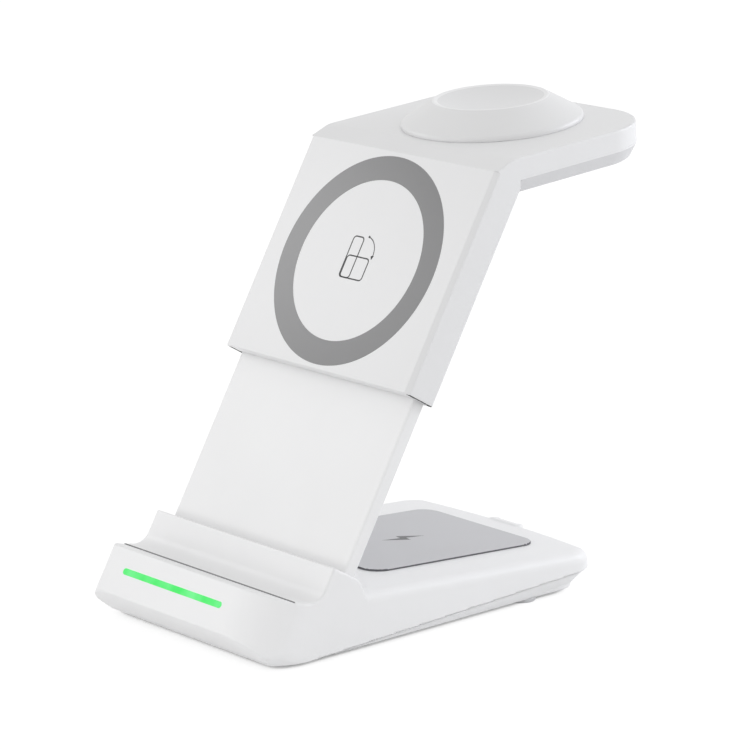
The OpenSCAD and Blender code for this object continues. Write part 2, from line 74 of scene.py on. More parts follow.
def tilted(angle, y0, z0):
    """Two functions, into a frame that rises towards the rear and back out."""
    c, s = math.cos(angle), math.sin(angle)

    def into(x, y, z):
        return x, (y - y0) * c + (z - z0) * s, (z - z0) * c - (y - y0) * s

    def out(p):
        x, y, z = p.T
        return np.stack([x, y0 + y * c - z * s, z0 + y * s + z * c], 1)
    return into, out

BEVEL_Y, BEVEL_Z = lean_point(*BEVEL_TOP)
DECK_Y, DECK_Z = lean_point(*HUMP_TOP)[0] + 1.7, FLOOR + 13.7
to_platform, from_platform = tilted(RISE, BEVEL_Y, BEVEL_Z)
to_deck, from_deck = tilted(-FALL, DECK_Y, DECK_Z)
print("bevel line at", round(BEVEL_Y, 2), round(BEVEL_Z, 2),
      "deck starts at", round(DECK_Y, 2), round(DECK_Z, 2))

# %% [markdown]
# Moulded plastic has no knife edges: each corner is eased by a few tenths of
# a millimetre, and that is where the light runs. Bevelling a finished mesh is
# the usual way, but here plates, coves and slots meet at odd angles. So each
# moulding is written as a distance: how far a point lies outside its skin.
# Two distances joined with a rounded maximum give an edge of an exact radius.

# %% Distances that meet in rounded edges
def both(a, b, r=0.0):
    """Inside a and inside b, with an outer edge of radius r between them."""
    if r <= 0:
        return np.maximum(a, b)
    u, w = np.maximum(r + a, 0), np.maximum(r + b, 0)
    return np.minimum(-r, np.maximum(a, b)) + np.hypot(u, w)

def either(a, b, r=0.0):
    """Inside a or inside b, with a hollow of radius r between them."""
    return -both(-a, -b, r)

def outline(x, y, half, y0, y1, front_r, rear_r):
    """A plate's outline: half width, front and rear ends, and corner radii."""
    mid, reach = (y0 + y1) / 2, (y1 - y0) / 2
    r = np.where(y < mid, front_r, rear_r)
    qx, qy = np.abs(x) - half + r, np.abs(y - mid) - reach + r
    return np.minimum(np.maximum(qx, qy), 0) + np.hypot(np.maximum(qx, 0), np.maximum(qy, 0)) - r

def slope(y, z, p, q):
    """Distance above the straight line that runs from p to q."""
    length = math.hypot(q[0] - p[0], q[1] - p[1])
    ny, nz = -(q[1] - p[1]) / length, (q[0] - p[0]) / length
    return (y - p[0]) * ny + (z - p[1]) * nz

def stadium(x, y, half_length, r):
    """A bar with round ends."""
    return np.hypot(np.maximum(np.abs(x) - half_length + r, 0), y) - r

# %% [markdown]
# The skin is then drawn over the distance. A grid is laid round the piece,
# each cell that the skin crosses gets one point, and neighbouring cells are
# joined by four-sided faces. The points slide onto the exact skin, and each
# takes its normal from the distance itself, so flats stay flat and edges
# catch an even highlight.

# %% Draw a skin over a distance
STEP = 1.0
SLIDES, SLIDE_SHARE, LEAST_SLOPE = 5, 0.9, 0.2
SPARE_ROOM = 0.35

def steps(*spans):
    """A line of grid places from spans of (start, end, step)."""
    line = []
    for start, end, step in spans:
        count = max(1, round((end - start) / step))
        line += [start + (end - start) * i / count for i in range(count)]
    return np.array(line + [spans[-1][1]])

def slope_of(f, p, e=0.02):
    """The direction in which a distance grows fastest, at each point."""
    g = np.empty_like(p)
    for k in range(3):
        q, w = p.copy(), p.copy()
        q[:, k] += e
        w[:, k] -= e
        g[:, k] = (f(*q.T) - f(*w.T)) / (2 * e)
    return g

def neighbour(index, u, w, du, dw):
    """The cell before an edge by du along axis u and dw along axis w."""
    cell = [n.copy() for n in index]
    cell[u] -= du
    cell[w] -= dw
    return cell

def skin(f, xs, ys, zs):
    """Points, four-sided faces and normals of the skin where f is zero."""
    axes = (xs, ys, zs)
    value = f(*np.meshgrid(xs, ys, zs, indexing="ij"))
    for k in range(3):
        if (np.take(value, [0, -1], axis=k) < 0).any():
            raise ValueError("the grid is too small along axis %d" % k)
    shape = np.array(value.shape) - 1
    total = np.zeros(tuple(shape) + (3,))
    count = np.zeros(tuple(shape))
    crossings = []
    for k in range(3):
        low, high = [slice(None)] * 3, [slice(None)] * 3
        low[k], high[k] = slice(0, -1), slice(1, None)
        a, b = value[tuple(low)], value[tuple(high)]
        index = np.nonzero((a < 0) != (b < 0))
        va, vb = a[index], b[index]
        p = np.stack([axes[n][index[n]] for n in range(3)], 1)
        p[:, k] += va / (va - vb) * (axes[k][index[k] + 1] - axes[k][index[k]])
        crossings.append((index, va < 0))
        u, w = [n for n in range(3) if n != k]
        for du, dw in ((0, 0), (0, 1), (1, 0), (1, 1)):
            c = neighbour(index, u, w, du, dw)
            ok = (c[u] >= 0) & (c[w] >= 0) & (c[u] < shape[u]) & (c[w] < shape[w])
            cell = tuple(n[ok] for n in c)
            np.add.at(total, cell, p[ok])
            np.add.at(count, cell, 1)
    used = count > 0
    number = np.full(used.shape, -1)
    number[used] = np.arange(used.sum())
    points = total[used] / count[used][:, None]
    cells = np.argwhere(used)
    low = np.stack([axes[n][cells[:, n]] for n in range(3)], 1)
    high = np.stack([axes[n][cells[:, n] + 1] for n in range(3)], 1)
    room = (high - low) * SPARE_ROOM
    for _ in range(SLIDES):
        g = slope_of(f, points)
        pull = np.maximum((g * g).sum(1), LEAST_SLOPE)[:, None]
        points -= SLIDE_SHARE * f(*points.T)[:, None] * g / pull
        points = np.clip(points, low - room, high + room)
    faces = []
    for k, (index, goes_out) in enumerate(crossings):
        u, w = [n for n in range(3) if n != k]
        quad = np.stack([number[tuple(neighbour(index, u, w, du, dw))]
                         for du, dw in ((0, 0), (1, 0), (1, 1), (0, 1))], 1)
        flip = goes_out if k == 1 else ~goes_out
        quad[flip] = quad[flip][:, ::-1]
        faces.append(quad)
    return points, np.concatenate(faces), slope_of(f, points)

def linked(name, data):
    """A new object in the scene, at the origin."""
    piece = bpy.data.objects.new(name, data)
    bpy.context.scene.collection.objects.link(piece)
    return piece

def meshed(name, points, faces):
    """A new mesh from points in millimetres."""
    mesh = bpy.data.meshes.new(name)
    mesh.from_pydata((np.array(points, float) / 1000).tolist(), [], faces)
    return mesh

def solid(name, f, xs, ys, zs, place=None):
    """A smooth piece from a distance, turned into place by its direction."""
    points, faces, normals = skin(f, xs, ys, zs)
    if place:
        tips = place(points + normals)
        points = place(points)
        normals = tips - points
    normals /= np.maximum(np.linalg.norm(normals, axis=1), 1e-9)[:, None]
    mesh = meshed(name, points, faces.tolist())
    mesh.polygons.foreach_set("use_smooth", [True] * len(mesh.polygons))
    mesh.normals_split_custom_set_from_vertices(normals.tolist())
    print(name, len(faces), "faces")
    return linked(name, mesh)

# %% [markdown]
# Round pieces, such as the watch stage and the phone ring, are turned: a half
# profile is spun about the axis. The helper rounds each corner of the profile
# by its own radius and keeps the true normal on flats and curves alike. Two
# straights that meet at a slight angle are taken for one smooth curve.

# %% Turn a profile
SMOOTH_TURN = 0.3
ON_AXIS = 1e-6

def eased(corners, arc_steps):
    """The closed outline, anticlockwise, as rows of (place, normal, place number)."""
    n, rows = len(corners), []
    spots = [np.array(c[:2], float) for c in corners]
    for i, (_, _, ease) in enumerate(corners):
        t0 = spots[i] - spots[i - 1]
        t1 = spots[(i + 1) % n] - spots[i]
        t0, t1 = t0 / np.linalg.norm(t0), t1 / np.linalg.norm(t1)
        n0, n1 = np.array([t0[1], -t0[0]]), np.array([t1[1], -t1[0]])
        turn = math.atan2(t0[0] * t1[1] - t0[1] * t1[0], float(t0 @ t1))
        if ease:
            sign = 1 if turn > 0 else -1
            centre = spots[i] - t0 * ease * math.tan(abs(turn) / 2) - sign * ease * n0
            for k in range(arc_steps + 1):
                c, s = math.cos(turn * k / arc_steps), math.sin(turn * k / arc_steps)
                normal = np.array([n0[0] * c - n0[1] * s, n0[0] * s + n0[1] * c])
                rows.append((centre + sign * ease * normal, normal, len(rows)))
        elif abs(turn) < SMOOTH_TURN:
            rows.append((spots[i], (n0 + n1) / 2, len(rows)))
        else:
            rows.append((spots[i], n0, len(rows)))
            rows.append((spots[i], n1, len(rows) - 1))
    return rows

def turned(name, corners, place, segments=160, arc_steps=5):
    """A round piece from corners of (radius, height, easing)."""
    rows = eased(corners, arc_steps)
    angle = np.arange(segments) * 2 * math.pi / segments
    spin = np.stack([np.cos(angle), np.sin(angle)], 1)
    points, first = [], {}
    for (r, h), _, number in rows:
        if number not in first:
            first[number] = len(points)
            points += [(r * c, r * s, h) for c, s in (spin if r > ON_AXIS else [(1, 0)])]
    faces, corner_normals = [], []
    for k, (spot, normal, number) in enumerate(rows):
        after, normal_after, number_after = rows[(k + 1) % len(rows)]
        if number == number_after or (spot[0] < ON_AXIS and after[0] < ON_AXIS):
            continue
        for a in range(segments):
            b = (a + 1) % segments
            ring = [(number, spot, normal, a), (number, spot, normal, b),
                    (number_after, after, normal_after, b), (number_after, after, normal_after, a)]
            if spot[0] < ON_AXIS:
                ring.pop(1)
            if after[0] < ON_AXIS:
                ring.pop(2)
            faces.append([first[m] + (q if at[0] > ON_AXIS else 0) for m, at, _, q in ring])
            corner_normals += [(w[0] * spin[q, 0], w[0] * spin[q, 1], w[1]) for _, _, w, q in ring]
    corner_normals = place(np.array(corner_normals)) - place(np.zeros((1, 3)))
    mesh = meshed(name, place(np.array(points)), faces)
    mesh.polygons.foreach_set("use_smooth", [True] * len(mesh.polygons))
    mesh.normals_split_custom_set(corner_normals.tolist())
    print(name, len(faces), "faces")
    return linked(name, mesh)

# %% [markdown]
# Every finish is a small net of shader nodes. Three helpers keep such a net
# short: one adds a node with its settings, one joins nodes row by row, and
# one makes a ramp between two colours.

# %% Helpers for shader nodes
def add(nodes, kind, **values):
    """A new shader node. An underscore in a setting stands for a space."""
    node = nodes.new("ShaderNode" + kind)
    for name, value in values.items():
        node.inputs[name.replace("_", " ")].default_value = value
    return node

def wire(links, *rows):
    """Join nodes by rows of (source, output, target, input)."""
    for source, output, target, socket in rows:
        links.new(source.outputs[output], target.inputs[socket])

def ramp_between(nodes, places, colours):
    ramp = add(nodes, "ValToRGB")
    for element, position, colour in zip(ramp.color_ramp.elements, places, colours):
        element.position = position
        element.color = (*colour, 1)
    return ramp

# %% [markdown]
# One white plastic covers most of the stand. Close up it has the faint grain
# that an etched mould leaves, and its gloss wanders slightly from place to
# place. Both are procedural: fine noise drives the bump, slow noise the gloss.
# The head, the stage and the dish wear darker copies of this white, painted
# shade, and the platform's cover a darker one still.

# %% Finishes
SLOW_SCALE, GRAIN_HEIGHT = 45.0, 0.00005

def finish(name, colour, rough, grain=3500.0, depth=0.06, drift=0.02, metal=0.0, specular=0.5,
           wander=0.03):
    """A finish: its colour drifts darker by drift, its gloss by wander either way."""
    m = bpy.data.materials.new(name)
    m.use_nodes = True
    nodes, links = m.node_tree.nodes, m.node_tree.links
    shader = nodes["Principled BSDF"]
    shader.inputs["Metallic"].default_value = metal
    shader.inputs["Specular IOR Level"].default_value = specular
    place = add(nodes, "TexCoord")
    slow = add(nodes, "TexNoise", Scale=SLOW_SCALE, Detail=3.0)
    fine = add(nodes, "TexNoise", Scale=grain, Detail=2.0)
    dark = [max(0.0, c * (1 - drift)) for c in colour]
    tint = ramp_between(nodes, (0.3, 0.7), (dark, colour))
    gloss = add(nodes, "MapRange", To_Min=rough - wander, To_Max=rough + wander)
    bump = add(nodes, "Bump", Strength=depth, Distance=GRAIN_HEIGHT)
    wire(links, (place, "Object", slow, "Vector"), (place, "Object", fine, "Vector"),
         (slow, "Fac", tint, "Fac"), (tint, "Color", shader, "Base Color"),
         (slow, "Fac", gloss, "Value"), (gloss, "Result", shader, "Roughness"),
         (fine, "Fac", bump, "Height"), (bump, "Normal", shader, "Normal"))
    return m

base_white_and_rim_highlight = finish("base_white_and_rim_highlight", (0.86, 0.86, 0.865), 0.42)
column_white = finish("column_white", (0.86, 0.86, 0.863), 0.42)
# Painted shade: the head, stage and dish whites are darker copies of the base white.
white = finish("head_painted_shade_white", (0.79, 0.79, 0.795), 0.42)
# Painted shade: the platform's cover is a darker copy of the white still.
under_painted_shade_white = finish("platform_cover_painted_shade_white", (0.66, 0.66, 0.67), 0.42)
stage_painted_shade_white = finish("stage_painted_shade_white", (0.765, 0.765, 0.768), 0.40)
dish_painted_shade_white = finish("dish_painted_shade_white", (0.755, 0.755, 0.76), 0.38)
ring_grey = finish("ring_print", (0.168, 0.168, 0.17), 0.34, grain=5000, depth=0.04, drift=0.02,
                   metal=0.35, wander=0.004)
pad_grey = finish("pad_rubber", (0.585, 0.585, 0.60), 0.62, grain=2600, depth=0.16, drift=0.03,
                  specular=0.3)
# Painted shade for the earbud pad's cut edge.
pad_edge_shade = finish("pad_edge_painted_shade", (0.13, 0.13, 0.14), 0.6, depth=0.1, drift=0.1, specular=0.3)
foot_grey = finish("foot_rubber", (0.70, 0.70, 0.71), 0.7, depth=0.2, specular=0.3)
# Painted shade: the dark bead that draws the slot's shadow line.
bead_shade = finish("bead_painted_shade", (0.27, 0.27, 0.275), 0.6, drift=0.1, specular=0.3)
sign_ink = finish("sign_ink", (0.032, 0.032, 0.034), 0.5, drift=0.1)
bolt_ink = finish("bolt_ink", (0.14, 0.14, 0.145), 0.5, drift=0.1)
bright_steel = finish("bright_steel", (0.60, 0.60, 0.61), 0.28, metal=1.0, drift=0.05)
magnet_plate = finish("magnet_plate", (0.55, 0.55, 0.57), 0.22, metal=1.0, drift=0.05)
board_mask = finish("board_mask", (0.02, 0.12, 0.05), 0.35, drift=0.3)
copper_wire = finish("copper_wire", (0.62, 0.26, 0.12), 0.35, metal=1.0, drift=0.15)
ferrite_black = finish("ferrite_black", (0.035, 0.035, 0.04), 0.55, drift=0.2)
ribbon_film = finish("ribbon_film", (0.45, 0.24, 0.04), 0.3, drift=0.15)
# Felt for the inner friction pads, and painted shade at the sleeve's mouth.
felt_and_painted_shade = finish("felt_and_painted_shade", (0.03, 0.03, 0.03), 0.95, grain=1500, depth=0.8, drift=0.3)
print(len(bpy.data.materials), "materials")

# %% [markdown]
# Each piece made below gets its finish, rides on the body that carries it,
# and takes the place of the plain node of the CAD model. A few pieces carry
# a second finish on some of their faces.

# %% Dress a piece and hand it to its body
def settle(piece, material, body, node):
    piece.data.materials.clear()
    piece.data.materials.append(material)
    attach(piece, body)
    if node:
        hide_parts(node)
    return piece

def second_finish(piece, material, chosen):
    """Give another finish to the faces that the test picks."""
    piece.data.materials.append(material)
    for face in piece.data.polygons:
        face.material_index = int(chosen(face))
    print(piece.name, sum(face.material_index for face in piece.data.polygons),
          "faces in", material.name)

# %% [markdown]
# The base is one white moulding: a nose with a lip for the phone, a trough
# behind it, a hump that the column grows out of, and a long flat deck. Its
# front corners follow the lean, and below the chin it is cut back at about
# forty-five degrees, which leaves a crescent where the cut meets the corners.

# %% Base moulding
NOSE = -15.36
CHIN = lean_point(NOSE, -99.4)
CHIN_FOOT = (CHIN[0] + 8.1, FLOOR)
CORNER_TILT = 1.1345
LIP = lean_point(NOSE, -87.4)
GROOVE = (-53.1, FLOOR + 15.14)
COVE = (-47.49, FLOOR + 14.04)
HUMP = lean_point(*HUMP_TOP)
BASE_REAR, REAR_BOW = 48.4, 227
PART = math.radians(3.07)

def base_outline(x, y, inset):
    """The base from above: round rear corners and a slightly bowed rear end."""
    rear = BASE_REAR - inset
    bow = np.hypot(x, y - rear + REAR_BOW) - REAR_BOW
    plate = outline(x, y, BASE_HALF - inset, -90, rear, 1, 9.7 - inset * 0.5)
    return both(plate, bow, 2.0)

def parting(y, z):
    """How far a point lies below the slanting line between base and cover."""
    return (y + 50) * math.sin(PART) - (z - FLOOR) * math.cos(PART)

def base_distance(x, y, z):
    _, d, v = to_lean(x, y, z)
    h = to_deck(x, y, z)[2]
    lip = both(np.minimum(slope(y, z, LIP, GROOVE), slope(y, z, GROOVE, COVE)), y + 38)
    hump = both(both(-d, v - HUMP_TOP[1], 0.5), slope(y, z, HUMP, (DECK_Y, DECK_Z)), 0.5)
    nose = both(either(lip, hump, 3.0), outline(x, d, BASE_HALF, NOSE, 90, 13, 1), 0.5)
    nose = both(nose, slope(y, z, CHIN_FOOT, CHIN), 0.4)
    deck = both(both(h, base_outline(x, y, 0), 3.0), DECK_Y - 0.6 - y)
    hood = both(outline(x, y, 5.3, 45.6, 48.2, 1.2, 1), h - 0.12, 0.12)
    body = either(either(nose, deck), hood, 1.0)
    groove = np.maximum(np.maximum(np.abs(y - GROOVE[0]) - 0.26, np.abs(x) - 33.4),
                        GROOVE[1] - 0.9 - z)
    port = np.maximum(stadium(x, z - FLOOR - 7.6, 4.62, 1.75), 41 - y)
    body = both(body, -groove, 0.08)
    body = both(body, -port, 0.25)
    tip = (y - CHIN_FOOT[0]) * math.cos(CORNER_TILT) + (z - FLOOR) * math.sin(CORNER_TILT)
    body = both(body, outline(x, tip, BASE_HALF, 0, 120, 5, 1), 0.5)
    return both(both(body, FLOOR - z, 0.4), parting(y, z), 0.15)

base = solid("base_moulding", base_distance,
             steps((-35.5, -6, 0.6 * STEP), (-6, 6, 0.35), (6, 35.5, 0.6 * STEP)),
             steps((-68.2, -53.8, 0.55 * STEP), (-53.8, -52.4, 0.12), (-52.4, 44, 0.6 * STEP),
                   (44, 49.4, 0.4)),
             steps((0.5, 6.6, 0.45), (6.6, 11.2, 0.35), (11.2, 24, 0.45)))
settle(base, base_white_and_rim_highlight, "base", "base_shell")

# %% [markdown]
# A dark bead lies in the slot behind the lip, a little proud of it, and draws
# a thin dark line there: painted shade for the shadow in the slot.

# %% Bead in the slot
def bead_distance(x, y, z):
    return both(stadium(x, y - GROOVE[0], 33.35, 0.25), np.abs(z - GROOVE[1] + 0.3) - 0.55, 0.12)

bead = solid("shelf_bead", bead_distance,
             steps((-34.3, -33, 0.12), (-33, 33, 1.0), (33, 34.3, 0.12)),
             steps((GROOVE[0] - 0.45, GROOVE[0] + 0.45, 0.1)),
             steps((GROOVE[1] - 1.05, GROOVE[1] + 0.45, 0.1)))
settle(bead, bead_shade, "base", None)

# %% [markdown]
# A separate cover closes the base from below. Its side draws in from the
# slanting parting line, so the base seems to float, and four sunk screws and
# four rubber feet sit in it.

# %% Base cover
COVER_SCREWS = [(-27, -22), (27, -22), (-27, 34), (27, 34)]

def cover_distance(x, y, z):
    drop = np.clip((FLOOR + (y + 50) * math.tan(PART) - z) / 4.2, 0, 1.2)
    draw_in = 2.9 + 1.5 * np.clip((y - 22) / 26, 0, 1)
    side = (base_outline(x, y, 0.35) + draw_in * drop) * 0.8
    body = both(side, parting(y, z) * -1 + 0.06, 0.2)
    body = both(body, FLOOR - z, 0.5)
    body = np.maximum(body, -46 - y)
    floor_plate = both(outline(x, y, 31.58, CHIN_FOOT[0] + 2.5, 44.9, 8, 9), z - FLOOR - 1.8)
    body = np.minimum(body, both(floor_plate, FLOOR - z, 0.3))
    for px, py in COVER_SCREWS:
        hole = np.maximum(np.hypot(x - px, y - py) - 2.4, z - FLOOR - 1.0)
        body = both(body, -hole, 0.15)
    return body

cover = solid("base_underside", cover_distance,
              steps((-35, 35, 0.65 * STEP)), steps((-58, 49, 0.65 * STEP)), steps((0.6, 7.2, 0.4)))
settle(cover, base_white_and_rim_highlight, "base", "base_cover")

# %% [markdown]
# Feet and screws repeat, so one of each is made and a small node tree sets
# copies of it on a list of places. The copies are made real at the end,
# because only real faces leave Blender with the model.

# %% A node tree that sets copies on places
def copies(name, master, places, material, body, node):
    tree = bpy.data.node_groups.new(name + "_copies", "GeometryNodeTree")

    def socket(label, kind, way="INPUT"):
        return tree.interface.new_socket(label, in_out=way, socket_type="NodeSocket" + kind)

    socket("Places", "Geometry")
    shape, size = socket("Shape", "Object"), socket("Size", "Float")
    coat = socket("Finish", "Material")
    socket("Copies", "Geometry", "OUTPUT")
    start, end = tree.nodes.new("NodeGroupInput"), tree.nodes.new("NodeGroupOutput")
    info = tree.nodes.new("GeometryNodeObjectInfo")
    put = tree.nodes.new("GeometryNodeInstanceOnPoints")
    real = tree.nodes.new("GeometryNodeRealizeInstances")
    dress = tree.nodes.new("GeometryNodeSetMaterial")
    wire(tree.links, (start, "Places", put, "Points"), (start, "Shape", info, "Object"),
         (info, "Geometry", put, "Instance"), (start, "Size", put, "Scale"),
         (put, "Instances", real, "Geometry"), (real, "Geometry", dress, "Geometry"),
         (start, "Finish", dress, "Material"), (dress, "Geometry", end, "Copies"))
    holder = linked(name + "_holder", meshed(name + "_places", places, []))
    modifier = holder.modifiers.new("copies", "NODES")
    modifier.node_group = tree
    modifier[shape.identifier] = master
    modifier[size.identifier] = 1.0
    modifier[coat.identifier] = material
    evaluated = holder.evaluated_get(bpy.context.evaluated_depsgraph_get())
    mesh = bpy.data.meshes.new_from_object(evaluated)
    piece = linked(name, mesh)
    for spare in (holder, master):
        bpy.data.objects.remove(spare)
    print(name, len(places), "copies", len(mesh.polygons), "faces")
    return settle(piece, material, body, node)

# %% [markdown]
# Four low rubber feet carry the stand, one near each corner of the cover.

# %% Rubber feet
foot = turned("foot_master", [(0, 0, 0), (3.6, 0, 0.45), (3.6, 1.9, 0.1), (0, 1.9, 0)],
              lambda p: p, 48)
copies("rubber_foot_pads", foot,
       [(-27.3, -46.5, 0), (27.3, -46.5, 0), (-27.6, 26.5, 0), (27.6, 26.5, 0)],
       foot_grey, "base", "rubber_feet")

# %% [markdown]
# Both covers are held by cross-head screws. Those of the platform follow its
# rise, so their master is turned before it is copied.

# %% Cross-head screws
CROSS_HALF = 0.24
PLATFORM_SCREWS = [(-28, 12), (28, 12), (-21, 44), (21, 44)]

def screw_distance(head_r, head_h, shank_r, length):
    def distance(x, y, z):
        r = np.hypot(x, y)
        head = both(both(r - head_r, z, 0.05), -head_h - z, 0.35)
        arm = np.minimum(np.maximum(np.abs(x) - CROSS_HALF, np.abs(y) - head_r * 0.55),
                         np.maximum(np.abs(y) - CROSS_HALF, np.abs(x) - head_r * 0.55))
        head = both(head, -np.maximum(arm, z + head_h * 0.35), 0.05)
        shank = both(r - shank_r, z - length, 0.2)
        return np.minimum(head, np.maximum(shank, -0.1 - z))
    return distance

span = steps((-2.4, 2.4, 0.13))
screw = solid("screw_master", screw_distance(2.1, 0.9, 0.98, 6.0), span, span,
              steps((-1.1, 0.3, 0.11), (0.3, 6.3, 0.5)))
copies("cover_screw_set", screw, [(x, y, FLOOR + 1.0) for x, y in COVER_SCREWS],
       bright_steel, "base", "base_screws")

screw = solid("screw_master", screw_distance(1.7, 0.8, 0.78, 5.5), span, span,
              steps((-1.0, 0.3, 0.11), (0.3, 5.8, 0.5)))
c, s = math.cos(RISE), math.sin(RISE)
for vertex in screw.data.vertices:
    x, y, z = vertex.co
    vertex.co = (x, y * c - z * s, y * s + z * c)
places = from_platform(np.array([(x, y, -8.25) for x, y in PLATFORM_SCREWS], float))
copies("platform_screw_set", screw, places.tolist(), bright_steel, "head", "cover_screws")

# %% [markdown]
# The column is a plain flat plate with softened long edges. The head slides
# on it, so it keeps the sleeve's small clearance all round.

# %% Column
COLUMN_D = 6.55

def column_distance(x, d, v):
    plate = both(np.abs(x) - 33.3, np.abs(d - COLUMN_D) - 1.85, 0.55)
    return both(plate, np.abs(v + 49.075) - 36.925, 0.4)

column = solid("column_blade", column_distance,
               steps((-33.8, -32, 0.25), (-32, 32, 1.6), (32, 33.8, 0.25)),
               steps((4.2, 8.9, 0.25)), steps((-86.6, -12, 1.3), (-12, -11.5, 0.25)), from_lean)
settle(column, column_white, "base", "column_plate")

# %% [markdown]
# The earbud pad is a thin grey sheet let into the deck, a little proud of it,
# with a fine rubbery grain. Its cut edge wears a near-black finish: painted shade.

# %% Earbud pad
PAD_Y = (9.95 - DECK_Y) / math.cos(FALL)
PAD_TOP = 0.5

def pad_distance(x, y, z):
    sheet = outline(x, y - PAD_Y, 21.6, -28.1, 28.0, 5, 5)
    return both(both(sheet, z - PAD_TOP, 0.1), -0.6 - z)

pad = solid("earbud_sheet", pad_distance, steps((-22.6, 22.6, 0.5)),
            steps((PAD_Y - 28.8, PAD_Y + 28.8, 0.5)),
            steps((-0.9, 0.1, 0.33), (0.1, 0.8, 0.14)), from_deck)
settle(pad, pad_grey, "base", "earbud_pad")
# Painted shade: the pad's side faces get the dark edge finish.
second_finish(pad, pad_edge_shade, lambda face: face.normal.z < 0.8)

# %% [markdown]
# Printed signs are thin flat shapes a hair above their surface. A closed
# outline is filled, and an open line is widened into a ribbon. The helpers
# take points in the flat of the surface. The pad carries a lightning sign.

# %% Printed signs
PRINT_DEPTH = 0.03

def printed(name, loops, height, place, material, body):
    """Closed loops made into thin prisms that share their edges."""
    spots, tops = {}, []
    for loop in loops:
        area = sum(p[0] * q[1] - q[0] * p[1] for p, q in zip(loop, loop[1:] + loop[:1]))
        line = loop if area > 0 else loop[::-1]
        tops.append([spots.setdefault((round(x, 4), round(y, 4)), len(spots)) for x, y in line])
    count = len(spots)
    edges = [(a, b) for top in tops for a, b in zip(top, top[1:] + top[:1])]
    rim = [(a, b) for a, b in edges if (b, a) not in set(edges)]
    faces = tops + [[n + count for n in reversed(top)] for top in tops]
    faces += [[a, a + count, b + count, b] for a, b in rim]
    sunk = -PRINT_DEPTH if height > 0 else PRINT_DEPTH
    points = [(x, y, h) if place is from_deck else (x, h, y)
              for h in (height, height + sunk) for x, y in spots]
    piece = linked(name, meshed(name, place(np.array(points, float)), faces))
    print(name, len(faces), "faces")
    return settle(piece, material, body, None)

def ribbon(line, width, closed=False):
    """An open or closed line widened into four-sided loops."""
    line = [np.array(p, float) for p in line]
    n = len(line)
    quads, sides = [], []
    for i, p in enumerate(line):
        a = line[(i - 1) % n] if closed or i else p
        b = line[(i + 1) % n] if closed or i + 1 < n else p
        t = (b - a) / np.linalg.norm(b - a)
        w = np.array([-t[1], t[0]]) * width / 2
        sides.append((p + w, p - w))
    for i in range(n if closed else n - 1):
        (a, b), (c, e) = sides[i], sides[(i + 1) % n]
        quads.append([tuple(a), tuple(b), tuple(e), tuple(c)])
    return quads

def round_box(cx, cy, w, h, r):
    """A box with round corners, as one closed line."""
    line = []
    for sx, sy, start in ((1, 1, 0), (-1, 1, 90), (-1, -1, 180), (1, -1, 270)):
        for k in range(7):
            a = math.radians(start + 15 * k)
            x, y = sx * (w / 2 - r) + r * math.cos(a), sy * (h / 2 - r) + r * math.sin(a)
            line.append((cx + x, cy + y))
    return line

BOLT = [(1.0, 6.3), (-2.3, -0.5), (-0.2, -0.8), (-1.0, -6.3), (2.3, 0.5), (0.2, 0.8)]
printed("lightning_sign", [[(x, y + PAD_Y + 0.65) for x, y in BOLT]], PAD_TOP + 0.015, from_deck,
        bolt_ink, "base")

# %% [markdown]
# The light bar is a milky strip let into the nose. Behind it a row of small
# lights makes it glow, a little brighter over each one. Its noise is drawn in
# two directions only, so the patches run straight through the strip.

# %% Light bar
glow = finish("green_light", (0.02, 0.25, 0.04), 0.35, drift=0.1)
nodes = glow.node_tree.nodes
shader = nodes["Principled BSDF"]
shader.inputs["Emission Strength"].default_value = 1.0
place = add(nodes, "TexCoord")
spread = add(nodes, "Mapping", Scale=(1, 1, 0))
patches = add(nodes, "TexNoise", Scale=190.0, Detail=1.0)
ramp = ramp_between(nodes, (0.35, 0.68), ((0.020, 0.60, 0.085), (0.125, 0.66, 0.215)))
wire(glow.node_tree.links,
     (place, "Object", spread, "Vector"), (spread, "Vector", patches, "Vector"),
     (patches, "Fac", ramp, "Fac"), (ramp, "Color", shader, "Emission Color"))

def bar_distance(x, d, v):
    return both(both(stadium(x, v + 92.93, 19.35, 0.86), -15.45 - d, 0.15), d + 13.2)

bar = solid("light_strip", bar_distance, steps((-19.9, -18, 0.2), (-18, 18, 1.2), (18, 19.9, 0.2)),
            steps((-15.7, -14.9, 0.12), (-14.9, -12.9, 0.5)), steps((-94, -91.9, 0.14)), from_lean)
settle(bar, glow, "base", "light_bar")

# %% [markdown]
# The head is one L-shaped moulding: a leaning half that holds the phone coil
# and slides over the column, and a platform with generous rear corners. A
# bevel joins the two in front. The sleeve is cut through from below. The grid
# is finer where the panel and the side of the platform meet the moulding.

# %% Head moulding
HEAD_REAR_D = 10.4
PLATFORM_REAR, PLATFORM_CORNER = 52, 17.5

def head_distance(x, d, v):
    _, py, pz = to_platform(x, *lean_point(d, v))
    bevel = slope(d, v, BEVEL_FOOT, BEVEL_TOP)
    front = np.minimum(1.22 - d, 29.17 - v)
    rear = both(d - HEAD_REAR_D, (np.abs(x) - HEAD_HALF + d - HEAD_REAR_D + 1.06) * 0.7071)
    low = np.minimum(np.maximum(rear, py - 1.8), -5.55 - pz)
    side = outline(x, py, 34.988, -110, 51.988, 1, PLATFORM_CORNER)
    body = both(both(bevel, pz, 0.45), side, 0.45)
    body = both(both(body, front, 0.03), low, 0.06)
    body = both(body, -PANEL_REACH - v, 0.25)
    sleeve = np.maximum(np.maximum(np.abs(x) - 33.65, np.abs(d - COLUMN_D) - 2.2),
                        np.maximum(v - 32.6, pz + 1.8))
    return both(body, -sleeve, 0.12)

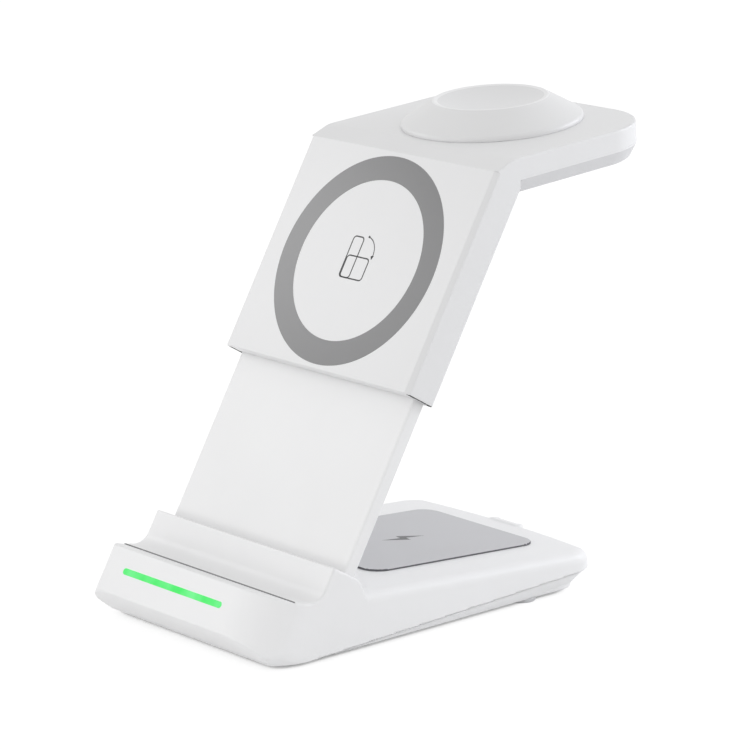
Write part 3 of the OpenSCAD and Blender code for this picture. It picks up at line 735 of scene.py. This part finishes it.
head = solid("head_moulding", head_distance,
             steps((-35.4, -34.3, 0.18), (-34.3, 34.3, 0.65 * STEP), (34.3, 35.4, 0.18)),
             steps((-0.5, 1.0, 0.5), (1.0, 1.45, 0.09), (1.45, 11, 0.42), (11, 50.4, 0.62 * STEP)),
             steps((-30, -28.9, 0.16), (-28.9, 28.9, 0.6 * STEP), (28.9, 29.5, 0.09),
                   (29.5, 66, 0.6 * STEP)),
             from_lean)
settle(head, white, "head", "head_housing")

# %% [markdown]
# At the mouth of the sleeve, the ends of the two side walls show from below. They
# are painted black: painted shade for the dark wedge at each side.

# %% Painted shade at the mouth of the sleeve
def on_mouth_shade(face):
    x, _, v = to_lean(*(face.center * 1000))
    looks_down = face.normal.y * LS + face.normal.z * LC < -0.85
    return looks_down and abs(x) > 33.2 and v < -28.8

# Painted shade: the downward ends of the side walls get the black finish.
second_finish(head, felt_and_painted_shade, on_mouth_shade)

# %% [markdown]
# The platform has its own lower cover, drawn in towards the bottom. Its faces
# that look down wear a darker copy of the white: painted shade. Its rim is the
# side of the platform carried on, so it wears the head's white.

# %% Underside of the platform
def under_distance(x, y, z):
    drop = (-5.6 - z) * 2 / 3.6
    side = outline(x, y, HEAD_HALF, -200, PLATFORM_REAR, 1, PLATFORM_CORNER)
    side = (side + np.maximum(drop, 0)) * 0.874
    body = both(both(side, -9.15 - z, 0.5), z + 4.95)
    body = both(body, 1.86 - y, 0.15)
    for px, py in PLATFORM_SCREWS:
        body = both(body, -np.maximum(np.hypot(x - px, y - py) - 1.9, z + 8.2), 0.12)
    return body

def on_rim(face):
    return abs(face.normal.z * math.cos(RISE) - face.normal.y * math.sin(RISE)) < 0.2

under = solid("platform_underside", under_distance, steps((-35.5, 35.5, 0.6 * STEP)),
              steps((1.2, 52.6, 0.6 * STEP)), steps((-9.6, -5.7, 0.36), (-5.7, -4.8, 0.1)),
              from_platform)
settle(under, under_painted_shade_white, "head", "platform_cover")
second_finish(under, white, on_rim)

# %% [markdown]
# The phone panel is a flat cap on the leaning half. Its two long edges carry
# a chamfer about a millimetre wide, which reads as a darker strip.

# %% Phone panel
def panel_distance(x, d, v):
    chamfer = (np.abs(x) - 34.05) * 0.7415 - d * 0.6709
    face = both(both(-d, chamfer, 0.12), np.abs(x) - 34.995, 0.04)
    face = both(both(face, -PANEL_REACH - v, 0.18), v - 29.36)
    face = both(face, slope(d, v, BEVEL_FOOT, BEVEL_TOP) - 0.004, 0.03)
    return both(face, d - 1.34)

panel = solid("phone_panel", panel_distance,
              steps((-35.4, -33.4, 0.2), (-33.4, 33.4, 1.2), (33.4, 35.4, 0.2)),
              steps((-0.3, 0.3, 0.1), (0.3, 1.5, 0.2)),
              steps((-29.6, -28.6, 0.2), (-28.6, 28.8, 1.2), (28.8, 29.5, 0.1)), from_lean)
settle(panel, white, "head", "front_panel")

# %% [markdown]
# The ring that marks the magnets is a thin grey print with a metal gleam, a
# hair above the panel.

# %% Phone ring
def on_panel(p):
    return from_lean(np.stack([p[:, 0], -p[:, 2], p[:, 1]], 1))

ring = turned("phone_ring_print",
              [(21.5, -0.35, 0), (28.0, -0.35, 0), (28.0, 0.03, 0.02), (21.5, 0.03, 0.02)],
              on_panel, 200, 2)
settle(ring, ring_grey, "head", "phone_ring")

# %% [markdown]
# Inside the ring a small line sign shows that the phone may stand or lie. It
# is two rounded outlines and a curved arrow, each widened from a line.

# %% Turning sign
def arc(cx, cy, r, start, end, count=14):
    turns = [math.radians(start + (end - start) * k / count) for k in range(count + 1)]
    return [(cx + r * math.cos(a), cy + r * math.sin(a)) for a in turns]

LINE = 0.35
upright = ribbon(round_box(-2.5, 0.48, 3.8, 10.95, 0.9), LINE, closed=True)
lying = ribbon(round_box(0.0, -2.08, 8.1, 5.85, 0.9), LINE, closed=True)
sweep = ribbon(arc(0.0, 1.75, 4.72, 78, -8), 0.26)
arrow_head = [(4.05, 1.75), (5.1, 1.95), (4.6, 0.75)]
arrow_start = arc(0.9, 6.42, 0.33, 0, 330, 11)
printed("turning_sign", upright + lying + sweep + [arrow_head, arrow_start], -0.012, from_lean,
        sign_ink, "head")

# %% [markdown]
# The watch stage is a low cone with a rounded foot. Its rim wears the lighter
# base white, a painted highlight. The dish inside it is slightly greyer, painted
# shade, and follows the back of a watch.

# %% Watch stage and dish
STAGE_Y = 25.2

def on_platform(p):
    return from_platform(p + [0, STAGE_Y, 0])

def on_rim_highlight(face):
    _, y, z = to_platform(*(face.center * 1000))
    return math.hypot(face.center.x * 1000, y - STAGE_Y) < 14.9 and z > 6

def dish_line(r=13.62, depth=1.5, rim=6.12, foot=3.4, count=24):
    """A shallow ball-shaped hollow, from its rim in to the middle."""
    ball = (r * r + depth * depth) / (2 * depth)
    half = math.asin(r / ball)
    hollow = [(ball * math.sin(half * k / count),
               rim - depth + ball - ball * math.cos(half * k / count), 0)
              for k in range(count, -1, -1)]
    return [(0, foot, 0), (r, foot, 0)] + hollow

stage = turned("watch_cone",
               [(13.6, -0.02, 0), (23.3, -0.02, 0.2), (23.3, 1.162, 1.3), (14.626, 6.462, 0.8),
                (13.6, 6.14, 0.02)], on_platform, 200, 6)
settle(stage, stage_painted_shade_white, "head", "watch_stage")
# Painted highlight: the rim's faces get the lighter base white.
second_finish(stage, base_white_and_rim_highlight, on_rim_highlight)
dish = turned("watch_bowl", dish_line(), on_platform, 160)
settle(dish, dish_painted_shade_white, "head", "watch_dish")

# %% [markdown]
# The nodes inside keep their CAD shapes and only need their finishes: boards,
# coils, ferrite sheets, magnets, steel and film.

# %% Finishes of the inner nodes
INSIDE = {
    "ballast_plate": bright_steel, "main_board": board_mask, "board_parts": ferrite_black,
    "usb_c_socket": bright_steel, "port_board": board_mask, "light_board": board_mask,
    "light_leds": white, "earbud_coil": copper_wire, "earbud_ferrite": ferrite_black,
    "column_bracket": bright_steel, "bracket_screws": bright_steel, "column_ribbon": ribbon_film,
    "stop_pins": bright_steel, "ring_magnets": magnet_plate, "phone_coil": copper_wire,
    "phone_ferrite": ferrite_black, "coil_carrier": white, "friction_pads": felt_and_painted_shade,
    "head_board": board_mask, "watch_coil": copper_wire, "watch_ferrite": ferrite_black,
    "watch_magnet": magnet_plate}
for name, material in INSIDE.items():
    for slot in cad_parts[name].material_slots:
        slot.material = material
print(len(INSIDE), "inner nodes dressed")

# %% [markdown]
# The picture is a plain studio shot on white paper that goes on without end.
# Looked at straight, in a mirror or through glass, the paper glows by itself,
# and a painted contact shadow dims that glow only where the base nearly
# touches it. For every other ray it is plain pale paper, so it throws no more
# light on the stand than paper does.

# %% Floor
def direct_look(nodes, links):
    """One for a look straight, mirrored or through glass, else zero."""
    path = add(nodes, "LightPath")
    total = path.outputs["Is Camera Ray"]
    for kind in ("Is Glossy Ray", "Is Transmission Ray"):
        pick = add(nodes, "Math")
        pick.operation = "MAXIMUM"
        links.new(total, pick.inputs[0])
        links.new(path.outputs[kind], pick.inputs[1])
        total = pick.outputs["Value"]
    return total

def grey(level):
    return (level, level, level, 1)

floor_mesh = bpy.data.meshes.new("studio_floor")
floor_mesh.from_pydata([(-6, -6, 0), (6, -6, 0), (6, 6, 0), (-6, 6, 0)], [], [(0, 1, 2, 3)])
floor = linked("studio_floor", floor_mesh)
paper = bpy.data.materials.new("studio_paper")
paper.use_nodes = True
nodes, links = paper.node_tree.nodes, paper.node_tree.links
nodes.clear()
out = add(nodes, "OutputMaterial")
shaded = add(nodes, "BsdfDiffuse", Color=grey(0.20))
plain = add(nodes, "BsdfDiffuse", Color=grey(0.90))
# Painted contact shadow: the glow fades where something lies close above.
painted_contact_shadow = add(nodes, "AmbientOcclusion", Distance=0.012)
painted_contact_shadow.samples = 24
fade = add(nodes, "MapRange", From_Min=0.01, From_Max=0.13, To_Min=0.03, To_Max=0.87)
bright, looked_at = add(nodes, "Emission"), add(nodes, "AddShader")
choose = add(nodes, "MixShader")
wire(links, (painted_contact_shadow, "AO", fade, "Value"), (fade, "Result", bright, "Strength"),
     (shaded, "BSDF", looked_at, 0), (bright, "Emission", looked_at, 1),
     (plain, "BSDF", choose, 1), (looked_at, "Shader", choose, 2),
     (choose, "Shader", out, "Surface"))
links.new(direct_look(nodes, links), choose.inputs["Fac"])
floor_mesh.materials.append(paper)
print("floor", len(nodes), "shader nodes")

# %% [markdown]
# The air around is an even soft light. Looked at, it is plain white.

# %% World
world = bpy.data.worlds.new("studio_air")
bpy.context.scene.world = world
world.use_nodes = True
nodes, links = world.node_tree.nodes, world.node_tree.links
nodes.clear()
out = add(nodes, "OutputWorld")
air = add(nodes, "Background", Color=grey(1), Strength=0.84)
back = add(nodes, "Background", Color=grey(1), Strength=1.0)
choose = add(nodes, "MixShader")
wire(links, (air, "Background", choose, 1), (back, "Background", choose, 2),
     (choose, "Shader", out, "Surface"))
links.new(direct_look(nodes, links), choose.inputs["Fac"])
print("world", len(nodes), "shader nodes")

# %% [markdown]
# Soft lamps add the gentle differences between faces. The strongest stands
# behind, so the deck, the pad and the base's top are the brightest. The last
# one shows only as a reflection: it makes the ring lighter at its left.

# %% Soft lamps
def soft_lamp(name, place, target, size, power, tint=(1, 1, 1)):
    data = bpy.data.lights.new(name, "AREA")
    data.shape = "RECTANGLE"
    data.size, data.size_y = size
    data.energy = power
    data.color = tint
    lamp = linked(name, data)
    lamp.location = place
    way = np.array(target, float) - np.array(place, float)
    flat = math.hypot(way[0], way[1])
    lamp.rotation_euler = (math.atan2(flat, -way[2]), 0, math.atan2(way[1], way[0]) - math.pi / 2)
    lamp.visible_camera = False
    print(name, power, "W")
    return lamp

COOL, COOLER = (0.96, 0.985, 1.06), (0.94, 0.98, 1.07)
soft_lamp("rear_strip", (0.15, 0.40, 0.20), (0, 0.02, 0.03), (0.25, 0.15), 0.46, COOL)
soft_lamp("right_rear_box", (0.48, 0.50, 0.22), (0, 0.02, 0.05), (0.35, 0.30), 0.165, COOLER)
soft_lamp("low_front_strip", (-0.05, -0.36, 0.03), (0, -0.05, 0.01), (0.30, 0.12), 0.17)
soft_lamp("left_front_box", (-0.30, -0.48, 0.14), (0, -0.03, 0.05), (0.35, 0.25), 0.12)
soft_lamp("overhead_box", (0, 0.30, 0.75), (0, 0.02, 0.03), (0.50, 0.50), 0.08)
sheen = soft_lamp("ring_sheen", (-0.225, -0.127, 0.200), (-0.02, -0.005, 0.088), (0.09, 0.09),
                  0.085)
sheen.visible_diffuse = False

# %% [markdown]
# The camera stands where the photograph was taken from, and its long lens
# was worked out from the stand's straight edges.

# %% Camera at the photograph's angle
lens = bpy.data.cameras.new("studio_camera")
lens.sensor_width = 36.0
lens.lens = 174.17
camera = linked("studio_camera", lens)
camera.location = (0.66905, -0.57966, 0.26976)
camera.rotation_euler = (math.radians(76.526), 0, math.radians(49.04))
bpy.context.scene.camera = camera
bpy.context.scene.view_settings.view_transform = "Standard"
print("lens", lens.lens, "mm")

# %% [markdown]
# Last, the scene is brought up to date.

# %% Finish
bpy.context.view_layer.update()
